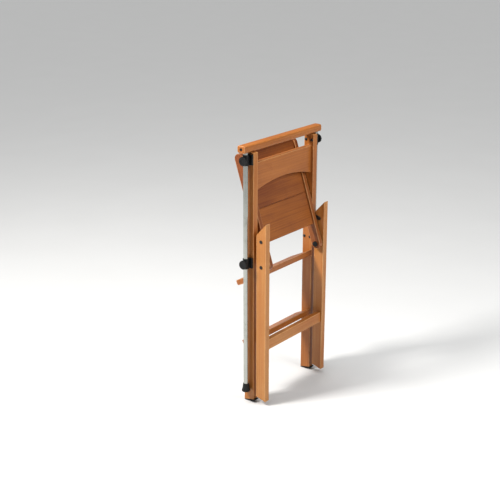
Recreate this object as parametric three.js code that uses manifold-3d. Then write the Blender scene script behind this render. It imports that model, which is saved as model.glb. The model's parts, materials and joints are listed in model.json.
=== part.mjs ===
// Folding wooden step ladder with a telescoping steel handrail, stored folded and standing on its feet.
// Millimetres, +Z up, +X to the climber's right, +Y away from the climber, towards the prop frame.
// Inside the assembly y = 0 is the climber's edge of the climbing frame; the last lines centre it.
import * as THREE from "three";
import { mergeVertices } from "three/addons/utils/BufferGeometryUtils.js";
import Module from "manifold-3d";

const wasm = await Module();
wasm.setup();

const GAP = 0.3; // between neighbours that touch on the real ladder
const EDGE = 1.6; // eased edges of the wood
const FIT = 0.15; // radial clearance of a bolt or pin in its hole

// Uprights of both frames
const WIDTH = 382; // across the outer faces
const UPRIGHT_T = 24; // across
const UPRIGHT_D = 42; // fore and aft
const CLIMB_HEIGHT = 950;
const LEAN = Math.atan(0.5); // lean of the climbing frame in use; the treads are level then

// Feet of the climbing frame
const WOOD_FOOT = 3; // height of the sawn end above the floor at the climber's edge
const SAW_SLOPE = 0.2; // rise of the sawn end towards the front edge
const SOLE_FLAT = 32; // flat sole that carries the folded ladder; the sloping sole starts here
const HEEL_LENGTH = 26;
const TOE_START = 28;
const TOE_OVERHANG = 6; // of the toe pad past the front edge of the upright

// Treads and back rail
const TREAD_T = 20;
const UPPER_TREAD_Z = 504; // top edge at the front of the uprights
const UPPER_TREAD_DEPTH = 113;
const LOWER_TREAD_Z = 261;
const LOWER_TREAD_DEPTH = 82;
const NOSE_RADIUS = 6;
const BACK_RAIL_T = 20;
const BACK_RAIL_DROP = 41; // its top edge below the tops of the uprights
const BACK_RAIL_HEIGHT = 103; // at its ends
const BACK_RAIL_RISE = 24; // of the arch in its lower edge

// Prop frame
const PROP_GAP = 12; // between the two pairs of uprights when folded
const PROP_OPEN = THREE.MathUtils.degToRad(43);
const PROP_PIVOT = [UPRIGHT_D / 2, 653]; // y, z
const PLATE_BOLT = [UPRIGHT_D + PROP_GAP + UPRIGHT_D / 2, 635];
const PLATE_SCREW = [UPRIGHT_D + PROP_GAP + 7, 637];
const PLATE_T = 3;
const PLATE_R = 6.5; // of its rounded ends
const PLATE_CLEARANCE = 0.4; // between the plate and the uprights
const STOP_GAP = 0.5; // left between the mitred top and the climbing upright when open
const STRETCHER_Z = [217, 257];
const STRETCHER_T = 20;
const STRETCHER_RECESS = 6;
const PIVOT_R = 4;

// Standing platform, in its own frame: s runs up the folded rails from the pivot, n towards +Y
const PLATFORM_PIVOT = [UPRIGHT_D / 2, 706.3]; // y, z
const FOLD_TILT = THREE.MathUtils.degToRad(18.3);
const RAIL_BELOW = 175; // from the pivot to the centre of the lower rounded end
const RAIL_ABOVE = 214;
const RAIL_D = 38;
const RAIL_T = 18;
const RAIL_CLEARANCE = 3.9; // between a rail and the upright beside it
const BOARD_T = 16;
const BOARD_RECESS = 7; // below the top edges of the rails
const REAR_BOARD = [-99, 25.7];
const FRONT_BOARD = [26, 228];
const CATCH_KNOB_T = 8;
const STOP_PIN = [PLATFORM_PIVOT[0] - 15, PLATFORM_PIVOT[1] - 35.3];
const STOP_PIN_R = 5;

// Handrail: a bar on two tubes that slide in clamps on the climbing frame
const TUBE_CLEARANCE = 8.5; // between the outer face of the upright and the tube
const TUBE_R = 9;
const TUBE_WALL = 1.2;
const TUBE_Y = UPRIGHT_D / 2;
const BAR_OVERHANG = 21; // past the centre of each tube
const BAR_D = 34;
const BAR_H = 27;
const BAR_OFFSET = -4; // of its middle from the tubes
const BAR_LIFT = 1.5; // above the tops of the uprights
const BAR_ROUND = 9; // of its long edges
const BAR_EDGE = 3.5; // rounding of its ends
const SOCKET_DEPTH = 18;
const PLUG_R = 5.5;
const STOP_Z = [48, 80];
const STOP_FLOOR = 3; // under the tube
const UPPER_CLAMP_DROP = 20.4; // of its bolts below the tops of the uprights
const LOWER_CLAMP_Z = 553; // of its bolts
const CLAMP_ABOVE = 15; // from the bolts to the top of the clamp
const CLAMP_BELOW = 23;
const CLAMP_WALL = 2; // of plastic round the tube
const CLAMP_BOLT_INSET = 8; // from both edges of the upright
const STOP_FLARE = 7.2; // of the end stop beyond the tube
const STOP_FLUTES = 12;
const STOP_FLUTE_DEPTH = 1.8;
const KNOB_DROP = 6; // of the knob's axis below the clamp bolts
const KNOB_R = 16.5;
const KNOB_T = 7;
const KNOB_STEP = 0.6; // of the hub behind the disc
const FLUTES = 16;

const HALF = WIDTH / 2;
const INNER = HALF - UPRIGHT_T;
const PROP_BACK = UPRIGHT_D + PROP_GAP;
const PROP_FRONT = PROP_BACK + UPRIGHT_D;
const SLOPE = Math.tan(LEAN);
const TUBE_X = HALF + TUBE_CLEARANCE + TUBE_R;
const BAR_LENGTH = 2 * (TUBE_X + BAR_OVERHANG);
const TUBE_BOTTOM = STOP_Z[0] + STOP_FLOOR + GAP;
const BAR_Z = [CLIMB_HEIGHT + BAR_LIFT, CLIMB_HEIGHT + BAR_LIFT + BAR_H];
const BAR_Y = TUBE_Y + BAR_OFFSET;
const BAR_MIDDLE = [BAR_Y, (BAR_Z[0] + BAR_Z[1]) / 2];
const CLAMP_Z = { upper: CLIMB_HEIGHT - UPPER_CLAMP_DROP, lower: LOWER_CLAMP_Z };
const CLAMP_BOLTS = [CLAMP_BOLT_INSET, UPRIGHT_D - CLAMP_BOLT_INSET];
const BACK_RAIL_TOP = CLIMB_HEIGHT - BACK_RAIL_DROP;
const BACK_RAIL_BOTTOM = BACK_RAIL_TOP - BACK_RAIL_HEIGHT;
const RAIL_X = [INNER - RAIL_CLEARANCE - RAIL_T, INNER - RAIL_CLEARANCE];
const PLATE_X = INNER - PLATE_CLEARANCE - PLATE_T;
const SIDES = { left: -1, right: 1 };

// ---- geometry helpers ----

// One closed surface facing out: seams merged, slivers at an axis dropped, faces turned if they point in.
function closed(geometry) {
  const bare = new THREE.BufferGeometry();
  bare.setAttribute("position", geometry.getAttribute("position"));
  if (geometry.index) bare.setIndex(geometry.index);
  const merged = mergeVertices(bare, 1e-3);
  const source = merged.index.array;
  const a = new THREE.Vector3();
  const b = new THREE.Vector3();
  const c = new THREE.Vector3();
  const faces = [];
  let volume = 0;
  for (let i = 0; i < source.length; i += 3) {
    const [p, q, r] = source.slice(i, i + 3);
    if (p === q || q === r || r === p) continue;
    faces.push([p, q, r]);
    a.fromBufferAttribute(merged.attributes.position, p);
    b.fromBufferAttribute(merged.attributes.position, q);
    c.fromBufferAttribute(merged.attributes.position, r);
    volume += a.dot(b.cross(c));
  }
  merged.setIndex(faces.flatMap(([p, q, r]) => (volume < 0 ? [p, r, q] : [p, q, r])));
  return merged;
}

function toSolid(geometry) {
  const g = closed(geometry);
  return new wasm.Manifold(
    new wasm.Mesh({
      numProp: 3,
      vertProperties: g.attributes.position.array,
      triVerts: new Uint32Array(g.index.array),
    }),
  );
}

function toGeometry(solid) {
  const mesh = solid.getMesh();
  const g = new THREE.BufferGeometry();
  g.setAttribute("position", new THREE.BufferAttribute(mesh.vertProperties, 3));
  g.setIndex(new THREE.BufferAttribute(mesh.triVerts, 1));
  return g;
}

const cut = (geometry, tools) =>
  toGeometry(tools.reduce((s, tool) => s.subtract(toSolid(tool)), toSolid(geometry)));

const join = (pieces) => toGeometry(pieces.map(toSolid).reduce((s, piece) => s.add(piece)));

// A polygon of [x, y, corner radius], its corners rounded.
function polygon(points) {
  const shape = new THREE.Shape();
  points.forEach(([x, y, radius = 0], i) => {
    const corner = new THREE.Vector2(x, y);
    const before = points[(i + points.length - 1) % points.length];
    const after = points[(i + 1) % points.length];
    const off = (other) =>
      new THREE.Vector2(other[0], other[1]).sub(corner).setLength(radius).add(corner);
    const start = radius ? off(before) : corner;
    if (i) shape.lineTo(start.x, start.y);
    else shape.moveTo(start.x, start.y);
    if (!radius) return;
    const end = off(after);
    shape.quadraticCurveTo(x, y, end.x, end.y);
  });
  shape.closePath();
  return shape;
}

const rectangle = (x0, x1, y0, y1, radius = 0) =>
  polygon([
    [x0, y0, radius],
    [x1, y0, radius],
    [x1, y1, radius],
    [x0, y1, radius],
  ]);

// A shape swept from z = low to high with eased ends, still inside its own outline.
function sweep(shape, low, high, edge, curveSegments = 5) {
  const g = new THREE.ExtrudeGeometry(shape, {
    depth: high - low - 2 * edge,
    bevelEnabled: edge > 0,
    bevelThickness: edge,
    bevelSize: edge,
    bevelOffset: -edge,
    bevelSegments: 2,
    curveSegments,
  });
  g.translate(0, 0, low + edge);
  return g;
}

// A shape in y, z swept along X.
function alongX(shape, x0, x1, edge = EDGE, curveSegments = 5) {
  const g = sweep(shape, Math.min(x0, x1), Math.max(x0, x1), edge, curveSegments);
  g.applyMatrix4(new THREE.Matrix4().makeBasis(
    new THREE.Vector3(0, 1, 0),
    new THREE.Vector3(0, 0, 1),
    new THREE.Vector3(1, 0, 0),
  ));
  return g;
}

// A shape in x, z swept along Y.
function alongY(shape, y0, y1, edge = EDGE, curveSegments = 16) {
  const g = sweep(shape, -y1, -y0, edge, curveSegments);
  g.rotateX(Math.PI / 2);
  return g;
}

// A rod on a line parallel to X, through y, z.
function rodX(radius, x0, x1, [y, z], sides = 24) {
  const g = new THREE.CylinderGeometry(radius, radius, Math.abs(x1 - x0), sides);
  g.rotateZ(-Math.PI / 2);
  g.translate((x0 + x1) / 2, y, z);
  return g;
}

function rodZ(radius, z0, z1, x, y, sides = 32) {
  const g = new THREE.CylinderGeometry(radius, radius, z1 - z0, sides);
  g.rotateX(Math.PI / 2);
  g.translate(x, y, (z0 + z1) / 2);
  return g;
}

// A turned piece on a line parallel to X; its profile is [x, radius] from one end of the axis to the other.
function turnedX(profile, side, [y, z], sides = 24) {
  const points = profile.map(([x, radius]) => new THREE.Vector2(radius, x));
  const g = new THREE.LatheGeometry(points, sides);
  g.rotateZ(-Math.PI / 2);
  g.scale(side, 1, 1);
  g.translate(0, y, z);
  return closed(g);
}

function turnedZ(profile, x, y, sides = 32) {
  const points = profile.map(([z, radius]) => new THREE.Vector2(radius, z));
  const g = new THREE.LatheGeometry(points, sides);
  g.rotateX(Math.PI / 2);
  g.translate(x, y, 0);
  return closed(g);
}

const assembly = new THREE.Group();
assembly.name = "assembly";

function bodyGroup(name) {
  const group = new THREE.Group();
  group.name = name;
  assembly.add(group);
  return group;
}

const FINISHES = {
  cherry: { color: 0xa8602f, roughness: 0.45, metalness: 0 },
  plastic: { color: 0x121313, roughness: 0.5, metalness: 0 },
  rubber: { color: 0x101010, roughness: 0.8, metalness: 0 },
  polishedSteel: { color: 0xc4c6c1, roughness: 0.15, metalness: 1 },
  blackSteel: { color: 0x1c1b1a, roughness: 0.45, metalness: 0.8 },
  zincSteel: { color: 0xa9a8a2, roughness: 0.4, metalness: 1 },
};

function add(group, finish, name, geometry) {
  const mesh = new THREE.Mesh(closed(geometry), new THREE.MeshStandardMaterial(FINISHES[finish]));
  mesh.name = name;
  group.add(mesh);
}

// A shank with a low domed head at its outer end.
const headedBolt = (x0, x1, shank, head, headT) => [
  [x0, 0],
  [x0, shank - 0.5],
  [x0 + 0.5, shank],
  [x1, shank],
  [x1, head],
  [x1 + headT * 0.55, head * 0.93],
  [x1 + headT * 0.9, head * 0.62],
  [x1 + headT, 0],
];

// ---- climbing frame ----

const climbingFrame = bodyGroup("climbing_frame");
const sawnEnd = (y) => WOOD_FOOT + SAW_SLOPE * y;

function climbingUpright(side) {
  const outline = polygon([
    [0, sawnEnd(0)],
    [UPRIGHT_D, sawnEnd(UPRIGHT_D)],
    [UPRIGHT_D, CLIMB_HEIGHT, 5],
    [0, CLIMB_HEIGHT, 5],
  ]);
  const blind = side * (HALF - 6);
  const start = side * (INNER - 1);
  const tools = [
    rodX(PIVOT_R + FIT, start, blind, PROP_PIVOT),
    rodX(PIVOT_R + FIT, start, blind, PLATFORM_PIVOT),
    rodX(STOP_PIN_R + FIT, start, blind, STOP_PIN),
  ];
  for (const z of Object.values(CLAMP_Z))
    for (const y of CLAMP_BOLTS) tools.push(rodX(2.65, start, side * (HALF + 1), [y, z], 16));
  return cut(alongX(outline, side * INNER, side * HALF), tools);
}

// The top edge of a tread starts at z on the front edge of the uprights and falls towards the climber.
function tread(z, depth) {
  const along = [Math.cos(LEAN), Math.sin(LEAN)];
  const noseTop = [UPRIGHT_D - depth * along[0], z - depth * along[1]];
  const noseBottom = [noseTop[0] + TREAD_T * along[1], noseTop[1] - TREAD_T * along[0]];
  const outline = polygon([
    [UPRIGHT_D, z],
    [...noseTop, NOSE_RADIUS],
    [...noseBottom, NOSE_RADIUS],
    [UPRIGHT_D, z - TREAD_T / along[0]],
  ]);
  return alongX(outline, GAP - INNER, INNER - GAP, 0.8);
}

function backRail() {
  const w = INNER - GAP;
  const shape = new THREE.Shape();
  shape.moveTo(-w, BACK_RAIL_BOTTOM);
  shape.quadraticCurveTo(0, BACK_RAIL_BOTTOM + 2 * BACK_RAIL_RISE, w, BACK_RAIL_BOTTOM);
  shape.lineTo(w, BACK_RAIL_TOP);
  shape.lineTo(-w, BACK_RAIL_TOP);
  shape.closePath();
  const middle = UPRIGHT_D / 2;
  return alongY(shape, middle - BACK_RAIL_T / 2, middle + BACK_RAIL_T / 2);
}

const heel = polygon([
  [0.5, 0],
  [HEEL_LENGTH, 0],
  [HEEL_LENGTH, sawnEnd(HEEL_LENGTH) - GAP],
  [0.5, sawnEnd(0.5) - GAP],
]);
const toeTip = UPRIGHT_D + TOE_OVERHANG;
const toe = polygon([
  [TOE_START, 0],
  [SOLE_FLAT, 0],
  [toeTip, SLOPE * (toeTip - SOLE_FLAT)],
  [toeTip, SLOPE * (toeTip - SOLE_FLAT) + 4],
  [UPRIGHT_D + 0.6, sawnEnd(UPRIGHT_D) - GAP],
  [TOE_START, sawnEnd(TOE_START) - GAP],
]);

function clamp(side, z) {
  const low = z - CLAMP_BELOW;
  const high = z + CLAMP_ABOVE;
  const x = side * TUBE_X;
  const face = side * (HALF + GAP);
  const spanX = (a, b) => [Math.min(a, b), Math.max(a, b)];
  const foot = rectangle(...spanX(face, face + side * 7), 1, UPRIGHT_D - 1, 2.5);
  const base = sweep(foot, low, high, 1);
  const neck = sweep(
    rectangle(...spanX(face + side * 5, x), TUBE_Y - TUBE_R, TUBE_Y + TUBE_R),
    low + 2,
    high - 2,
    0.8,
  );
  const collar = rodZ(TUBE_R + CLAMP_WALL, low, high, x, TUBE_Y);
  const tools = [
    rodZ(TUBE_R + 0.1, low - 1, high + 1, x, TUBE_Y),
    rodX(3.2, x, x + side * 20, [TUBE_Y, z - KNOB_DROP], 24),
  ];
  for (const y of CLAMP_BOLTS) tools.push(rodX(2.65, face - side, face + side * 6, [y, z], 16));
  return cut(join([base, neck, collar]), tools);
}

add(climbingFrame, "cherry", "back_rail", backRail());
add(climbingFrame, "cherry", "upper_tread", tread(UPPER_TREAD_Z, UPPER_TREAD_DEPTH));
add(climbingFrame, "cherry", "lower_tread", tread(LOWER_TREAD_Z, LOWER_TREAD_DEPTH));
for (const [name, side] of Object.entries(SIDES)) {
  add(climbingFrame, "cherry", `climbing_upright_${name}`, climbingUpright(side));
  const padX = [side * (INNER + 0.5), side * (HALF - 0.5)];
  add(climbingFrame, "rubber", `heel_pad_${name}`, alongX(heel, ...padX, 1));
  add(climbingFrame, "rubber", `toe_pad_${name}`, alongX(toe, ...padX, 1));
  const end = HALF - 6.4;
  const pivot = [[PLATE_X, 0], [PLATE_X, PIVOT_R], [end, PIVOT_R], [end, 0]];
  add(climbingFrame, "zincSteel", `prop_pivot_bolt_${name}`, turnedX(pivot, side, PROP_PIVOT));
  const inRail = RAIL_X[0] + 1;
  const hinge = [[inRail, 0], [inRail, PIVOT_R], [end, PIVOT_R], [end, 0]];
  add(climbingFrame, "zincSteel", `platform_pivot_bolt_${name}`, turnedX(hinge, side, PLATFORM_PIVOT));
  const pin = [
    [inRail, 0],
    [inRail, STOP_PIN_R - 1],
    [inRail + 1, STOP_PIN_R],
    [end, STOP_PIN_R],
    [end, 0],
  ];
  add(climbingFrame, "zincSteel", `stop_pin_${name}`, turnedX(pin, side, STOP_PIN));
  for (const [level, z] of Object.entries(CLAMP_Z)) {
    add(climbingFrame, "plastic", `tube_clamp_${level}_${name}`, clamp(side, z));
    CLAMP_BOLTS.forEach((y, i) => {
      const head = INNER - GAP;
      const bolt = [
        [head - 3.2, 0],
        [head - 2.8, 3.6],
        [head - 1.6, 5.4],
        [head, 5.8],
        [head, 2.5],
        [HALF + 5.5, 2.5],
        [HALF + 5.5, 0],
      ];
      const boltName = `clamp_bolt_${level}_${["rear", "front"][i]}_${name}`;
      add(climbingFrame, "blackSteel", boltName, turnedX(bolt, side, [y, z], 16));
    });
  }
}

// ---- prop frame ----

const propFrame = bodyGroup("prop_frame");
const openCos = Math.cos(PROP_OPEN);
const openSin = Math.sin(PROP_OPEN);

// The mitred top meets the front edge of the climbing upright when the prop is open.
const mitre = (y) =>
  PROP_PIVOT[1] +
  ((y - PROP_PIVOT[0]) * openCos - (UPRIGHT_D + STOP_GAP - PROP_PIVOT[0])) / openSin;

// The sawn foot lies in the floor when the prop is open and the climbing frame leans on its toe pads.
function propFoot(y) {
  const dy = y - PROP_PIVOT[0];
  const floor = SLOPE * (PROP_PIVOT[0] + dy * openCos - SOLE_FLAT);
  return PROP_PIVOT[1] + (floor - PROP_PIVOT[1] - dy * openSin) / (openCos + SLOPE * openSin);
}

const catchPoint = [
  PLATFORM_PIVOT[0] + RAIL_BELOW * Math.sin(FOLD_TILT),
  PLATFORM_PIVOT[1] - RAIL_BELOW * Math.cos(FOLD_TILT),
];

function propUpright(side) {
  const outline = polygon([
    [PROP_BACK, propFoot(PROP_BACK)],
    [PROP_FRONT, propFoot(PROP_FRONT)],
    [PROP_FRONT, mitre(PROP_FRONT)],
    [PROP_BACK, mitre(PROP_BACK), 3],
  ]);
  const start = side * (INNER - 1);
  return cut(alongX(outline, side * INNER, side * HALF), [
    rodX(PIVOT_R + FIT, start, side * (HALF + 1), PLATE_BOLT),
    rodX(3 + FIT, start, side * (HALF + 1), catchPoint),
    rodX(3 + FIT, start, side * (HALF - 8), PLATE_SCREW),
  ]);
}

// A plate round three bolts, its corners rounded about them.
function hingePlate(side) {
  const corners = [PROP_PIVOT, PLATE_SCREW, PLATE_BOLT];
  const normal = (a, b) => Math.atan2(a[0] - b[0], b[1] - a[1]);
  const shape = new THREE.Shape();
  corners.forEach((corner, i) => {
    const before = corners[(i + 2) % 3];
    const after = corners[(i + 1) % 3];
    const start = normal(before, corner);
    let end = normal(corner, after);
    while (end < start) end += 2 * Math.PI;
    shape.absarc(corner[0], corner[1], PLATE_R, start, end, false);
  });
  shape.closePath();
  const span = [side * (PLATE_X - 1), side * INNER];
  const holes = [
    rodX(PIVOT_R + FIT, ...span, PROP_PIVOT),
    rodX(PIVOT_R + FIT, ...span, PLATE_BOLT),
    rodX(3 + FIT, ...span, PLATE_SCREW),
  ];
  return cut(alongX(shape, side * PLATE_X, side * (PLATE_X + PLATE_T), 0.4, 10), holes);
}

const stretcherFront = PROP_FRONT - STRETCHER_RECESS;
const stretcher = rectangle(stretcherFront - STRETCHER_T, stretcherFront, ...STRETCHER_Z, 2.5);
add(propFrame, "cherry", "prop_stretcher", alongX(stretcher, GAP - INNER, INNER - GAP, 0.8));
for (const [name, side] of Object.entries(SIDES)) {
  add(propFrame, "cherry", `prop_upright_${name}`, propUpright(side));
  add(propFrame, "blackSteel", `hinge_plate_${name}`, hingePlate(side));
  const face = HALF + GAP;
  const bolt = headedBolt(PLATE_X, face, PIVOT_R, 6.5, 2.4);
  add(propFrame, "blackSteel", `plate_bolt_${name}`, turnedX(bolt, side, PLATE_BOLT));
  const catchBolt = headedBolt(INNER + 0.3, face, 3, 6.5, 2.4);
  add(propFrame, "blackSteel", `catch_bolt_${name}`, turnedX(catchBolt, side, catchPoint));
  const screwEnd = HALF - 8.4;
  const screw = [[PLATE_X, 0], [PLATE_X, 3], [screwEnd, 3], [screwEnd, 0]];
  add(propFrame, "blackSteel", `plate_screw_${name}`, turnedX(screw, side, PLATE_SCREW, 16));
}

// ---- standing platform ----

const platform = bodyGroup("platform");
platform.position.set(0, ...PLATFORM_PIVOT);
platform.rotation.x = FOLD_TILT;

function platformRail(side) {
  const r = RAIL_D / 2;
  const shape = new THREE.Shape();
  shape.absarc(0, RAIL_ABOVE, r, 0, Math.PI, false);
  shape.absarc(0, -RAIL_BELOW, r, Math.PI, 2 * Math.PI, false);
  shape.closePath();
  const rail = alongX(shape, side * RAIL_X[0], side * RAIL_X[1], EDGE, 14);
  const span = [side * (RAIL_X[0] - 1), side * (RAIL_X[1] + 1)];
  return cut(rail, [
    rodX(PIVOT_R + FIT, ...span, [0, 0]),
    rodX(3 + FIT, ...span, [0, -RAIL_BELOW]),
  ]);
}

function board([low, high]) {
  const top = RAIL_D / 2 - BOARD_RECESS;
  const x = RAIL_X[0] - GAP;
  return alongX(rectangle(top - BOARD_T, top, low, high, 3), -x, x, 0.8);
}

add(platform, "cherry", "platform_board_rear", board(REAR_BOARD));
add(platform, "cherry", "platform_board_front", board(FRONT_BOARD));
for (const [name, side] of Object.entries(SIDES)) {
  add(platform, "cherry", `platform_rail_${name}`, platformRail(side));
  const face = RAIL_X[0] - GAP;
  const knob = [
    [face - CATCH_KNOB_T, 0],
    [face - CATCH_KNOB_T + 0.4, 7.5],
    [face - CATCH_KNOB_T + 1.8, 10],
    [face - 3, 10.6],
    [face - 2, 9.4],
    [face - 1.6, 6.5],
    [face, 6.5],
    [face, 3],
    [RAIL_X[1] + 0.4, 3],
    [RAIL_X[1] + 0.4, 0],
  ];
  add(platform, "plastic", `catch_knob_${name}`, turnedX(knob, side, [0, -RAIL_BELOW], 32));
}

// ---- sliding handrail ----

const handle = bodyGroup("handle");

function handleBar() {
  const outline = rectangle(BAR_Y - BAR_D / 2, BAR_Y + BAR_D / 2, ...BAR_Z, BAR_ROUND);
  const bar = alongX(outline, -BAR_LENGTH / 2, BAR_LENGTH / 2, BAR_EDGE, 6);
  const tools = [];
  for (const side of Object.values(SIDES)) {
    tools.push(rodZ(TUBE_R + 0.3, BAR_Z[0] - 1, BAR_Z[0] + SOCKET_DEPTH, side * TUBE_X, TUBE_Y));
    const plugHole = [side * (BAR_LENGTH / 2 - 8), side * (BAR_LENGTH / 2 + 1)];
    tools.push(rodX(PLUG_R + GAP, ...plugHole, BAR_MIDDLE));
  }
  return cut(bar, tools);
}

const tubeTop = BAR_Z[0] + SOCKET_DEPTH - 0.5;

// A flared, fluted end stop, open at the top for the tube.
function tubeStop(side) {
  const [low, high] = STOP_Z;
  const flare = TUBE_R + STOP_FLARE;
  const mouth = TUBE_R + GAP;
  const profile = [
    [low, 0],
    [low, flare - 2],
    [low + 1.5, flare],
    [low + 6, flare - 0.6],
    [low + 14, mouth + 0.55 * (flare - mouth)],
    [high - 7, mouth + 2.6],
    [high, mouth + 1.5],
    [high, mouth],
    [low + STOP_FLOOR, mouth],
    [low + STOP_FLOOR, 0],
  ];
  const geometry = turnedZ(profile, 0, 0, STOP_FLUTES * 4);
  const points = geometry.attributes.position;
  for (let i = 0; i < points.count; i += 1) {
    const [x, y] = [points.getX(i), points.getY(i)];
    const r = Math.hypot(x, y);
    if (r < mouth + 1) continue;
    const hollow = (1 - Math.cos(STOP_FLUTES * Math.atan2(y, x))) / 2;
    const scale = 1 - (hollow * STOP_FLUTE_DEPTH * (r - mouth)) / (flare - mouth) / r;
    points.setXY(i, x * scale, y * scale);
  }
  return geometry.translate(side * TUBE_X, TUBE_Y, 0);
}

add(handle, "cherry", "handle_bar", handleBar());
for (const [name, side] of Object.entries(SIDES)) {
  const tube = [
    [TUBE_BOTTOM, TUBE_R],
    [tubeTop, TUBE_R],
    [tubeTop, TUBE_R - TUBE_WALL],
    [TUBE_BOTTOM, TUBE_R - TUBE_WALL],
    [TUBE_BOTTOM, TUBE_R],
  ];
  add(handle, "polishedSteel", `handle_tube_${name}`, turnedZ(tube, side * TUBE_X, TUBE_Y));
  add(handle, "plastic", `tube_stop_${name}`, tubeStop(side));
  const end = BAR_LENGTH / 2;
  const plug = [
    [end - 7.7, 0],
    [end - 7.7, PLUG_R],
    [end - 1.2, PLUG_R],
    [end - 0.9, PLUG_R - 1.2],
    [end - 2.4, 0],
  ];
  add(handle, "plastic", `handle_end_plug_${name}`, turnedX(plug, side, BAR_MIDDLE));
}

// ---- clamp knobs ----

function flutedDisc(x0, x1, z) {
  const points = [];
  for (let i = 0; i < FLUTES * 4; i += 1) {
    const angle = (i / (FLUTES * 4)) * 2 * Math.PI;
    const r = KNOB_R - [0, 0.25, 1.3, 0.25][i % 4];
    points.push([TUBE_Y + r * Math.cos(angle), z + r * Math.sin(angle)]);
  }
  return alongX(polygon(points), x0, x1, 1.2);
}

for (const [level, boltZ] of Object.entries(CLAMP_Z))
  for (const [name, side] of Object.entries(SIDES)) {
    const group = bodyGroup(`knob_${level}_${name}`);
    const z = boltZ - KNOB_DROP;
    const hub = TUBE_X + TUBE_R + CLAMP_WALL + GAP;
    const disc = hub + KNOB_STEP;
    const axis = [TUBE_Y, z];
    const knob = cut(
      join([
        flutedDisc(side * disc, side * (disc + KNOB_T), z),
        rodX(9, side * hub, side * (disc + 2), axis),
      ]),
      [
        rodX(3.3, side * (hub - 1), side * (hub + 5), axis, 24),
        rodX(8, side * (disc + KNOB_T - 1), side * (disc + KNOB_T + 1), axis),
      ],
    );
    add(group, "plastic", `clamp_knob_${level}_${name}`, knob);
    const tip = TUBE_X + TUBE_R + 0.4;
    const stud = [[tip, 0], [tip, 2.4], [tip + 0.6, 3], [hub + 4.7, 3], [hub + 4.7, 0]];
    add(group, "zincSteel", `clamp_stud_${level}_${name}`, turnedX(stud, side, axis, 16));
  }

// The deepest pieces are the rounded tops of the folded platform rails and the prop uprights.
const railTip = PLATFORM_PIVOT[0] - RAIL_ABOVE * Math.sin(FOLD_TILT) - RAIL_D / 2;
assembly.position.y = -(railTip + PROP_FRONT) / 2;

const group = new THREE.Group();
group.name = "step_ladder";
group.add(assembly);

export default group;
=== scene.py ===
"""Folded wooden step ladder with a sliding steel handrail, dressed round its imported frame."""
import json
import math

import bmesh
import bpy
from mathutils import Matrix, Vector


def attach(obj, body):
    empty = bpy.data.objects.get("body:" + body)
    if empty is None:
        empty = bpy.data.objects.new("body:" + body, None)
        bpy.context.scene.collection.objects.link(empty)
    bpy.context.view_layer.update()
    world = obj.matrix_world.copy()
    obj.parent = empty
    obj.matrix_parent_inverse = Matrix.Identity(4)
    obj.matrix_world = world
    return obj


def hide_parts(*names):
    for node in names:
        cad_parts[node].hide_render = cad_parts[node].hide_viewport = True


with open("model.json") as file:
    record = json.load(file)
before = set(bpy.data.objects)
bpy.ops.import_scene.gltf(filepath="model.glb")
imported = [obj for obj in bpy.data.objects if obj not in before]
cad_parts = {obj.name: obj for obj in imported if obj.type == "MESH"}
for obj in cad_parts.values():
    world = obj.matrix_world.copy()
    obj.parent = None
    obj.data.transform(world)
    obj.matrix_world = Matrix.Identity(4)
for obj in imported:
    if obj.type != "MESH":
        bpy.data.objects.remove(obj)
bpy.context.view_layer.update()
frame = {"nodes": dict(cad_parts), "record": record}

MM = 0.001
LEAN = math.atan(0.5)  # slope of the treads while the ladder is folded
FOLD_TILT = math.radians(18.3)  # slope of the folded platform


# ---- node trees ----


class Wire:
    """One output socket. Arithmetic on it adds Math nodes."""

    def __init__(self, tree, socket):
        self.tree = tree
        self.socket = socket

    def math(self, operation, *others):
        values = dict(enumerate((self, *others)))
        return self.tree.node("ShaderNodeMath", {"operation": operation}, values)

    def reflected(self, operation, other):
        return self.tree.node("ShaderNodeMath", {"operation": operation}, {0: other, 1: self})

    def __add__(self, other):
        return self.math("ADD", other)

    def __radd__(self, other):
        return self.reflected("ADD", other)

    def __sub__(self, other):
        return self.math("SUBTRACT", other)

    def __rsub__(self, other):
        return self.reflected("SUBTRACT", other)

    def __mul__(self, other):
        return self.math("MULTIPLY", other)

    def __rmul__(self, other):
        return self.reflected("MULTIPLY", other)

    def __truediv__(self, other):
        return self.math("DIVIDE", other)

    def __rtruediv__(self, other):
        return self.reflected("DIVIDE", other)

    def __pow__(self, other):
        return self.math("POWER", other)

    def __rpow__(self, other):
        return self.reflected("POWER", other)

    def __abs__(self):
        return self.math("ABSOLUTE")

    def clamp(self):
        return self.math("MAXIMUM", 0.0).math("MINIMUM", 1.0)

    def step(self, low, high):
        """0 below low, 1 above high, smooth between."""
        settings = {"interpolation_type": "SMOOTHSTEP"}
        return self.tree.node("ShaderNodeMapRange", settings, {"Value": self, 1: low, 2: high})


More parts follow.
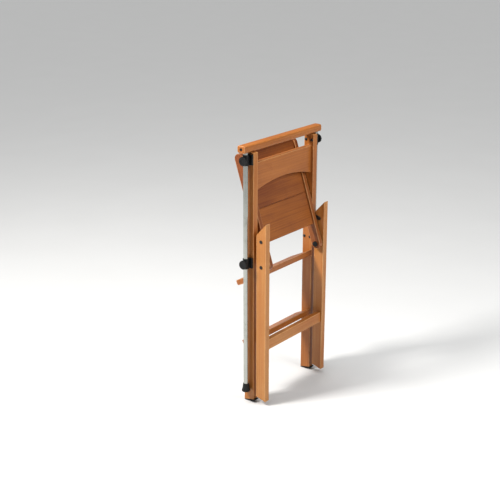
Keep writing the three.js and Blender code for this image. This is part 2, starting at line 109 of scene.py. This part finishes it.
class Tree:
    """A new material and its nodes."""

    def __init__(self, name):
        self.material = bpy.data.materials.new(name)
        self.material.use_nodes = True
        self.nodes = self.material.node_tree.nodes
        self.links = self.material.node_tree.links
        self.nodes.clear()

    def node(self, kind, settings=None, inputs=None, output=0):
        """A node with its settings, then the values or links of its sockets."""
        made = self.nodes.new(kind)
        for key, value in (settings or {}).items():
            if key == "stops":
                ramp = made.color_ramp.elements
                while len(ramp) < len(value):
                    ramp.new(0.5)
                for stop, (position, shade) in zip(ramp, value):
                    stop.position = position
                    stop.color = shade
            else:
                setattr(made, key, value)
        for key, value in (inputs or {}).items():
            socket = made.inputs[key]
            if isinstance(value, Wire):
                self.links.new(value.socket, socket)
            else:
                socket.default_value = value
        return None if output is None else Wire(self, made.outputs[output])

    def place(self):
        return self.node("ShaderNodeTexCoord", output="Object")

    def minus(self, vector, other):
        return self.node("ShaderNodeVectorMath", {"operation": "SUBTRACT"}, {0: vector, 1: other})

    def parts(self, vector):
        return [self.node("ShaderNodeSeparateXYZ", None, {0: vector}, axis) for axis in range(3)]

    def join(self, x, y, z):
        return self.node("ShaderNodeCombineXYZ", None, {0: x, 1: y, 2: z})

    def noise(self, where, scale, detail, roughness, distortion=0.0):
        """Noise from 0 to 1 with scale waves per unit of where."""
        values = {
            "Vector": where,
            "Scale": scale,
            "Detail": detail,
            "Roughness": roughness,
            "Distortion": distortion,
        }
        return self.node("ShaderNodeTexNoise", None, values)

    def blend(self, factor, low, high):
        settings = {"data_type": "RGBA", "blend_type": "MIX"}
        return self.node("ShaderNodeMix", settings, {0: factor, 6: low, 7: high}, 2)

    def bump(self, height, distance, strength):
        values = {"Height": height, "Distance": distance, "Strength": strength}
        return self.node("ShaderNodeBump", None, values)

    def surface(self, **sockets):
        values = {name.replace("_", " "): value for name, value in sockets.items()}
        shader = self.node("ShaderNodeBsdfPrincipled", None, values)
        self.node("ShaderNodeOutputMaterial", None, {"Surface": shader}, None)
        return self.material


def colour(red, green, blue):
    return (red, green, blue, 1.0)


# ---- wood ----

WOOD_DEEP = colour(0.145, 0.032, 0.005)
WOOD_BODY = colour(0.350, 0.113, 0.018)
WOOD_PALE = colour(0.480, 0.240, 0.072)
# Pale edge colour: edge wear plus a painted highlight along the sticks' arrises.
WOOD_WORN_HIGHLIGHT = colour(0.640, 0.350, 0.150)
WOOD_STOPS = [(0.12, WOOD_DEEP), (0.52, WOOD_BODY), (0.92, WOOD_PALE)]

# Waves per metre across the grain and along it.
SWAY_WAVES = (9.0, 1.6)
CLOUD_WAVES = (7.0, 4.0)
STREAK_WAVES = (160.0, 3.2)
FIBRE_WAVES = (900.0, 14.0)
PORE_WAVES = (2600.0, 120.0)

# How far each pattern carries the wood from dark to pale.
LATE_SHARE = 0.05
STREAK_SHARE = 0.36
RING_SHARE = 0.14
CLOUD_SHARE = 0.46
FIBRE_SHARE = 0.16
MEAN_LIGHT = 0.56

RING_PITCH = 7.5 * MM
RING_SWAY = 4.2  # rings that the sway moves them by
LATE_POWER = 1.6  # above 1, the dark part of a ring is narrow
RING_WAVES = 1.3  # changes of tone per ring

EDGE_WAVES = 70.0
EDGE_BREAK = 4.0 * MM  # how far the edge strip wanders
EDGE_DEPTH = (-3.4 * MM, -0.6 * MM)  # where the edge mark of wear and painted light starts and is full, from a corner
GRIME_WAVES = 22.0

VARNISH = {"Specular_IOR_Level": 0.36, "Coat_Weight": 0.08, "Coat_Roughness": 0.22}

# Which of x, y, z lie across the grain, through it and along it.
GRAIN_AXES = {"x": (1, 2, 0), "z": (0, 1, 2)}


def drawn_out(tree, axes, waves, side_shift=0.0, run_shift=0.0):
    """Coordinates that are fine across the grain and drawn out along it."""
    across, deep, run = axes
    side, length = waves
    return tree.join(across * side + side_shift, deep * side, run * length + run_shift)


def edge_wear_and_painted_light(tree, local, sides, half):
    """1 along the long and short corners of a stick, broken up, and 0 on its flats; it carries
    edge wear and painted edge light.
    """
    gaps = [abs(value) - reach for value, reach in zip(sides, half)]
    first = gaps[0].math("MAXIMUM", gaps[1]).math("MAXIMUM", gaps[2])
    least = gaps[0].math("MINIMUM", gaps[1]).math("MINIMUM", gaps[2])
    second = gaps[0] + gaps[1] + gaps[2] - first - least
    patchy = tree.noise(local, EDGE_WAVES, 3.0, 0.6)
    return (second + (patchy - 0.5) * EDGE_BREAK).step(*EDGE_DEPTH)


def wood(name, centre, half, turn, along, seed, tone, edges):
    """Varnished reddish wood for one stick: centre and half sizes in its own turned axes."""
    t = Tree(name)
    local = t.minus(t.place(), tuple(centre))
    turning = {"Vector": local, "Angle": -turn}
    local = t.node("ShaderNodeVectorRotate", {"rotation_type": "X_AXIS"}, turning)
    sides = t.parts(local)
    axes = [sides[index] for index in GRAIN_AXES[along]]
    across, deep, run = axes
    shift = seed * 1.37

    # The tree's heart lies outside the stick, so its rings cross the stick as arcs.
    heart_across = 0.055 + 0.030 * math.sin(seed * 2.1)
    heart_deep = 0.070 + 0.035 * math.cos(seed * 1.3)
    radius = ((across - heart_across) ** 2.0 + (deep + heart_deep) ** 2.0) ** 0.5
    sway = t.noise(drawn_out(t, axes, SWAY_WAVES, shift, shift * 3.1), 1.0, 2.0, 0.45) - 0.5
    rings = radius / RING_PITCH + sway * RING_SWAY
    late = (rings * (2.0 * math.pi)).math("SINE") * 0.5 + 0.5
    ring_place = t.join(rings * RING_WAVES + shift, shift, shift * 2.0)
    ring_tone = t.noise(ring_place, 1.0, 2.0, 0.6)

    fibre = t.noise(drawn_out(t, axes, FIBRE_WAVES, 0.0, shift), 1.0, 3.0, 0.62)
    streak = t.noise(drawn_out(t, axes, STREAK_WAVES, shift), 1.0, 4.0, 0.6, 0.4)
    pores = t.noise(drawn_out(t, axes, PORE_WAVES, 0.0, shift), 1.0, 1.0, 0.5).step(0.60, 0.72)
    cloud = t.noise(drawn_out(t, axes, CLOUD_WAVES, shift), 1.0, 2.0, 0.5)

    light = late ** LATE_POWER * LATE_SHARE + streak * STREAK_SHARE + ring_tone * RING_SHARE
    light = light + cloud * CLOUD_SHARE + (fibre - 0.5) * FIBRE_SHARE
    light = (light - MEAN_LIGHT + tone).clamp()
    wear_and_painted_edge_light = edge_wear_and_painted_light(t, local, sides, half)
    grime = t.noise(local, GRIME_WAVES, 4.0, 0.6).step(0.56, 0.74)

    base = t.node("ShaderNodeValToRGB", {"stops": WOOD_STOPS}, {0: light})
    base = t.blend(pores * 0.38, base, WOOD_DEEP)
    # Edge mark: wear with a painted highlight on most sticks, painted seam shade on the platform
    # boards.
    base = t.blend(wear_and_painted_edge_light * 0.42, base, edges)
    base = t.blend(grime * 0.16, base, WOOD_DEEP)
    rough = 0.34 + (1.0 - light) * 0.10 + pores * 0.18 + wear_and_painted_edge_light * 0.10 + grime * 0.08
    height = fibre * 0.5 + late * 0.35 - pores * 0.9
    relief = t.bump(height, 0.16 * MM, 0.45)
    return t.surface(Base_Color=base, Roughness=rough, Normal=relief, **VARNISH)


# ---- plastic, rubber and steel ----

PLASTIC_DEEP = colour(0.0030, 0.0034, 0.0036)
PLASTIC_WORN = colour(0.0075, 0.0082, 0.0084)
PLASTIC_DUST = colour(0.12, 0.12, 0.115)

RUBBER_DEEP = colour(0.005, 0.005, 0.005)
RUBBER_WORN = colour(0.014, 0.014, 0.013)
RUBBER_SCUFF = colour(0.12, 0.11, 0.10)

TUBE_CLEAN = colour(0.43, 0.44, 0.41)
TUBE_SMUDGED = colour(0.35, 0.36, 0.33)
TUBE_SPECK = colour(0.30, 0.28, 0.25)
TUBE_DRAWING = (1400.0, 22.0)  # waves per metre round the tube and along it

COATING_DEEP = colour(0.012, 0.012, 0.013)
COATING_PALE = colour(0.030, 0.029, 0.028)
COATING_RUBBED = colour(0.24, 0.22, 0.20)

ZINC_DULL = colour(0.52, 0.52, 0.50)
ZINC_BRIGHT = colour(0.70, 0.69, 0.65)


def black_plastic():
    t = Tree("moulded_black_plastic")
    place = t.place()
    grain = t.noise(place, 2600.0, 2.0, 0.6)
    broad = t.noise(place, 45.0, 3.0, 0.55)
    dust = t.noise(place, 160.0, 4.0, 0.65).step(0.56, 0.78)
    base = t.blend(broad, PLASTIC_DEEP, PLASTIC_WORN)
    base = t.blend(dust * 0.06, base, PLASTIC_DUST)
    rough = 0.36 + broad * 0.14 + dust * 0.15
    grained = t.bump(grain, 0.08 * MM, 0.5)
    return t.surface(Base_Color=base, Roughness=rough, Specular_IOR_Level=0.24, Normal=grained)


def foot_rubber():
    t = Tree("black_foot_rubber")
    place = t.place()
    grain = t.noise(place, 1500.0, 3.0, 0.65)
    scuff = t.noise(place, 120.0, 4.0, 0.7).step(0.50, 0.74)
    base = t.blend(grain, RUBBER_DEEP, RUBBER_WORN)
    base = t.blend(scuff * 0.16, base, RUBBER_SCUFF)
    rough = 0.62 + scuff * 0.22
    grained = t.bump(grain, 0.2 * MM, 0.6)
    return t.surface(Base_Color=base, Roughness=rough, Specular_IOR_Level=0.3, Normal=grained)


def polished_steel():
    t = Tree("polished_tube_steel")
    place = t.place()
    drawn = t.noise(drawn_out(t, t.parts(place), TUBE_DRAWING), 1.0, 2.0, 0.6)
    smudge = t.noise(place, 38.0, 4.0, 0.6).step(0.44, 0.76)
    speck = t.noise(place, 700.0, 2.0, 0.5).step(0.70, 0.78)
    base = t.blend(smudge, TUBE_CLEAN, TUBE_SMUDGED)
    base = t.blend(speck * 0.25, base, TUBE_SPECK)
    rough = 0.13 + smudge * 0.10 + drawn * 0.06 + speck * 0.2
    shine = t.bump(drawn, 0.03 * MM, 0.3)
    return t.surface(Base_Color=base, Roughness=rough, Metallic=1.0, Normal=shine)


def dark_steel():
    t = Tree("black_coated_steel")
    place = t.place()
    grain = t.noise(place, 900.0, 3.0, 0.6)
    rub = t.noise(place, 210.0, 4.0, 0.65).step(0.58, 0.80)
    base = t.blend(grain, COATING_DEEP, COATING_PALE)
    base = t.blend(rub * 0.35, base, COATING_RUBBED)
    rough = 0.38 + grain * 0.12
    metal = 0.55 + rub * 0.4
    grained = t.bump(grain, 0.08 * MM, 0.5)
    return t.surface(Base_Color=base, Roughness=rough, Metallic=metal, Normal=grained)


def zinc_steel():
    t = Tree("dull_zinc_steel")
    place = t.place()
    grain = t.noise(place, 800.0, 3.0, 0.6)
    dull = t.noise(place, 140.0, 3.0, 0.6)
    base = t.blend(dull, ZINC_DULL, ZINC_BRIGHT)
    rough = 0.30 + grain * 0.16
    grained = t.bump(grain, 0.06 * MM, 0.5)
    return t.surface(Base_Color=base, Roughness=rough, Metallic=1.0, Normal=grained)


# ---- pieces made from the frame's nodes ----

SMOOTH_BELOW = math.radians(42)
WELD = 0.01 * MM


def put(name, data):
    """A new object in the scene."""
    made = bpy.data.objects.new(name, data)
    bpy.context.scene.collection.objects.link(made)
    return made


def softened(node):
    """A copy of a node's mesh with smooth curved faces, flat flats and crisp corners."""
    mesh = frame["nodes"][node].data.copy()
    piece = put("shown_" + node, mesh)
    work = bmesh.new()
    work.from_mesh(mesh)
    bmesh.ops.remove_doubles(work, verts=work.verts, dist=WELD)
    for face in work.faces:
        face.smooth = True
    for edge in work.edges:
        edge.smooth = edge.calc_face_angle(math.pi) < SMOOTH_BELOW
    work.to_mesh(mesh)
    work.free()
    weighted = piece.modifiers.new("weighted", "WEIGHTED_NORMAL")
    weighted.keep_sharp = True
    return piece


record = frame["record"]
slot_of_node = {entry["node"]: entry["material_slot"] for entry in record["subparts"]}
body_of_node = {}
for body, names in record["behaviour"]["bodies"].items():
    for name in names:
        body_of_node[name] = body


def stand_for(piece, node, material):
    piece.data.materials.clear()
    piece.data.materials.append(material)
    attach(piece, body_of_node[node])
    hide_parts(node)


# Each wooden stick: turn of its own axes about X, its grain axis and how light its wood is. The
# platform boards and rails are darker partly for their own wood and partly as painted shade.
STICKS = {
    "back_rail": (0.0, "x", 0.46),
    "upper_tread": (LEAN, "x", 0.42),
    "lower_tread": (LEAN, "x", 0.50),
    "climbing_upright_left": (0.0, "z", 0.56),
    "climbing_upright_right": (0.0, "z", 0.60),
    "prop_upright_left": (0.0, "z", 0.68),
    "prop_upright_right": (0.0, "z", 0.72),
    "prop_stretcher": (0.0, "x", 0.66),
    # Low tones here: partly darker wood, partly painted shade where the boards and rails lie in
    # shadow.
    "platform_board_rear": (FOLD_TILT, "x", 0.34),
    "platform_board_front": (FOLD_TILT, "x", 0.28),
    "platform_rail_left": (FOLD_TILT, "z", 0.26),
    "platform_rail_right": (FOLD_TILT, "z", 0.26),
    "handle_bar": (0.0, "x", 0.46),
}


def own_box(node, turn):
    """Centre in the frame and half sizes along a node's own turned axes."""
    back = Matrix.Rotation(-turn, 3, "X")
    points = [back @ v.co for v in frame["nodes"][node].data.vertices]
    low = Vector([min(p[i] for p in points) for i in range(3)])
    high = Vector([max(p[i] for p in points) for i in range(3)])
    centre = back.inverted() @ ((low + high) / 2)
    return centre, (high - low) / 2


finishes = {
    "black_plastic": black_plastic(),
    "foot_rubber": foot_rubber(),
    "polished_steel": polished_steel(),
    "dark_steel": dark_steel(),
    "zinc_steel": zinc_steel(),
}

for number, node in enumerate(sorted(frame["nodes"])):
    if node in STICKS:
        turn, along, tone = STICKS[node]
        centre, half = own_box(node, turn)
        # The platform boards' edges take dark wood as painted shade for the seams between them;
        # the other sticks take the pale wear and painted-highlight colour.
        edges = WOOD_DEEP if node.startswith("platform_board") else WOOD_WORN_HIGHLIGHT
        finish = wood("wood_" + node, centre, half, turn, along, number + 1.0, tone, edges)
    else:
        finish = finishes[slot_of_node[node]]
    stand_for(softened(node), node, finish)


# ---- studio ----

FLOOR_DARK = colour(0.545, 0.545, 0.540)
FLOOR_PALE = colour(0.565, 0.565, 0.560)
FLOOR_REACH = 60.0  # so that its edge is far behind the ladder from all sides
LIGHTS_AIM = Vector((0.0, 0.0, 0.5))  # the ladder's middle
AIR_COLOUR = colour(0.93, 0.95, 0.97)
AIR_STRENGTH = 0.20

VIEW_AZIMUTH = 128.26
VIEW_ELEVATION = 19.11
VIEW_DISTANCE = 3.8326
VIEW_AIM = Vector((0.0913, -0.0680, 0.5518))
SENSOR_WIDTH = 36.0
LENS = 75.2


def direction(azimuth, elevation):
    a, e = math.radians(azimuth), math.radians(elevation)
    return Vector((math.cos(e) * math.sin(a), -math.cos(e) * math.cos(a), math.sin(e)))


def facing(along):
    """The turn that points a light or a camera along a vector."""
    return along.to_track_quat("-Z", "Y").to_euler()


def soft_box(name, azimuth, elevation, distance, side, power, tint=(1.0, 1.0, 1.0)):
    """A square area light that faces the ladder."""
    data = bpy.data.lights.new(name, "AREA")
    data.shape = "SQUARE"
    data.size = side
    data.energy = power
    data.color = tint
    lamp = put(name, data)
    lamp.location = LIGHTS_AIM + direction(azimuth, elevation) * distance
    lamp.rotation_euler = facing(LIGHTS_AIM - lamp.location)


def wide_sun(name, azimuth, elevation, spread, strength):
    data = bpy.data.lights.new(name, "SUN")
    data.energy = strength
    data.angle = math.radians(spread)
    put(name, data).rotation_euler = facing(-direction(azimuth, elevation))


def studio_floor():
    t = Tree("studio_floor")
    mottle = t.noise(t.place(), 3.0, 3.0, 0.5)
    base = t.blend(mottle, FLOOR_DARK, FLOOR_PALE)
    mesh = bpy.data.meshes.new("floor")
    work = bmesh.new()
    bmesh.ops.create_grid(work, x_segments=2, y_segments=2, size=FLOOR_REACH)
    work.to_mesh(mesh)
    work.free()
    mesh.materials.append(t.surface(Base_Color=base, Roughness=0.72 + mottle * 0.08))
    put("floor", mesh)


studio_floor()
soft_box("key", 62, 45, distance=3.0, side=0.6, power=140.0, tint=(1.0, 0.985, 0.96))
soft_box("front_fill", 186, 35, distance=3.2, side=1.6, power=72.0)
wide_sun("overhead", 20, 78, spread=55, strength=2.2)

world = bpy.data.worlds.new("studio_air")
world.use_nodes = True
air = world.node_tree.nodes["Background"]
air.inputs["Color"].default_value = AIR_COLOUR
air.inputs["Strength"].default_value = AIR_STRENGTH

lens = bpy.data.cameras.new("studio_camera")
lens.sensor_width = SENSOR_WIDTH
lens.lens = LENS
camera = put("studio_camera", lens)
camera.location = VIEW_AIM + direction(VIEW_AZIMUTH, VIEW_ELEVATION) * VIEW_DISTANCE
camera.rotation_euler = facing(VIEW_AIM - camera.location)

bpy.context.scene.world = world
bpy.context.scene.camera = camera
bpy.context.scene.view_settings.view_transform = "Standard"
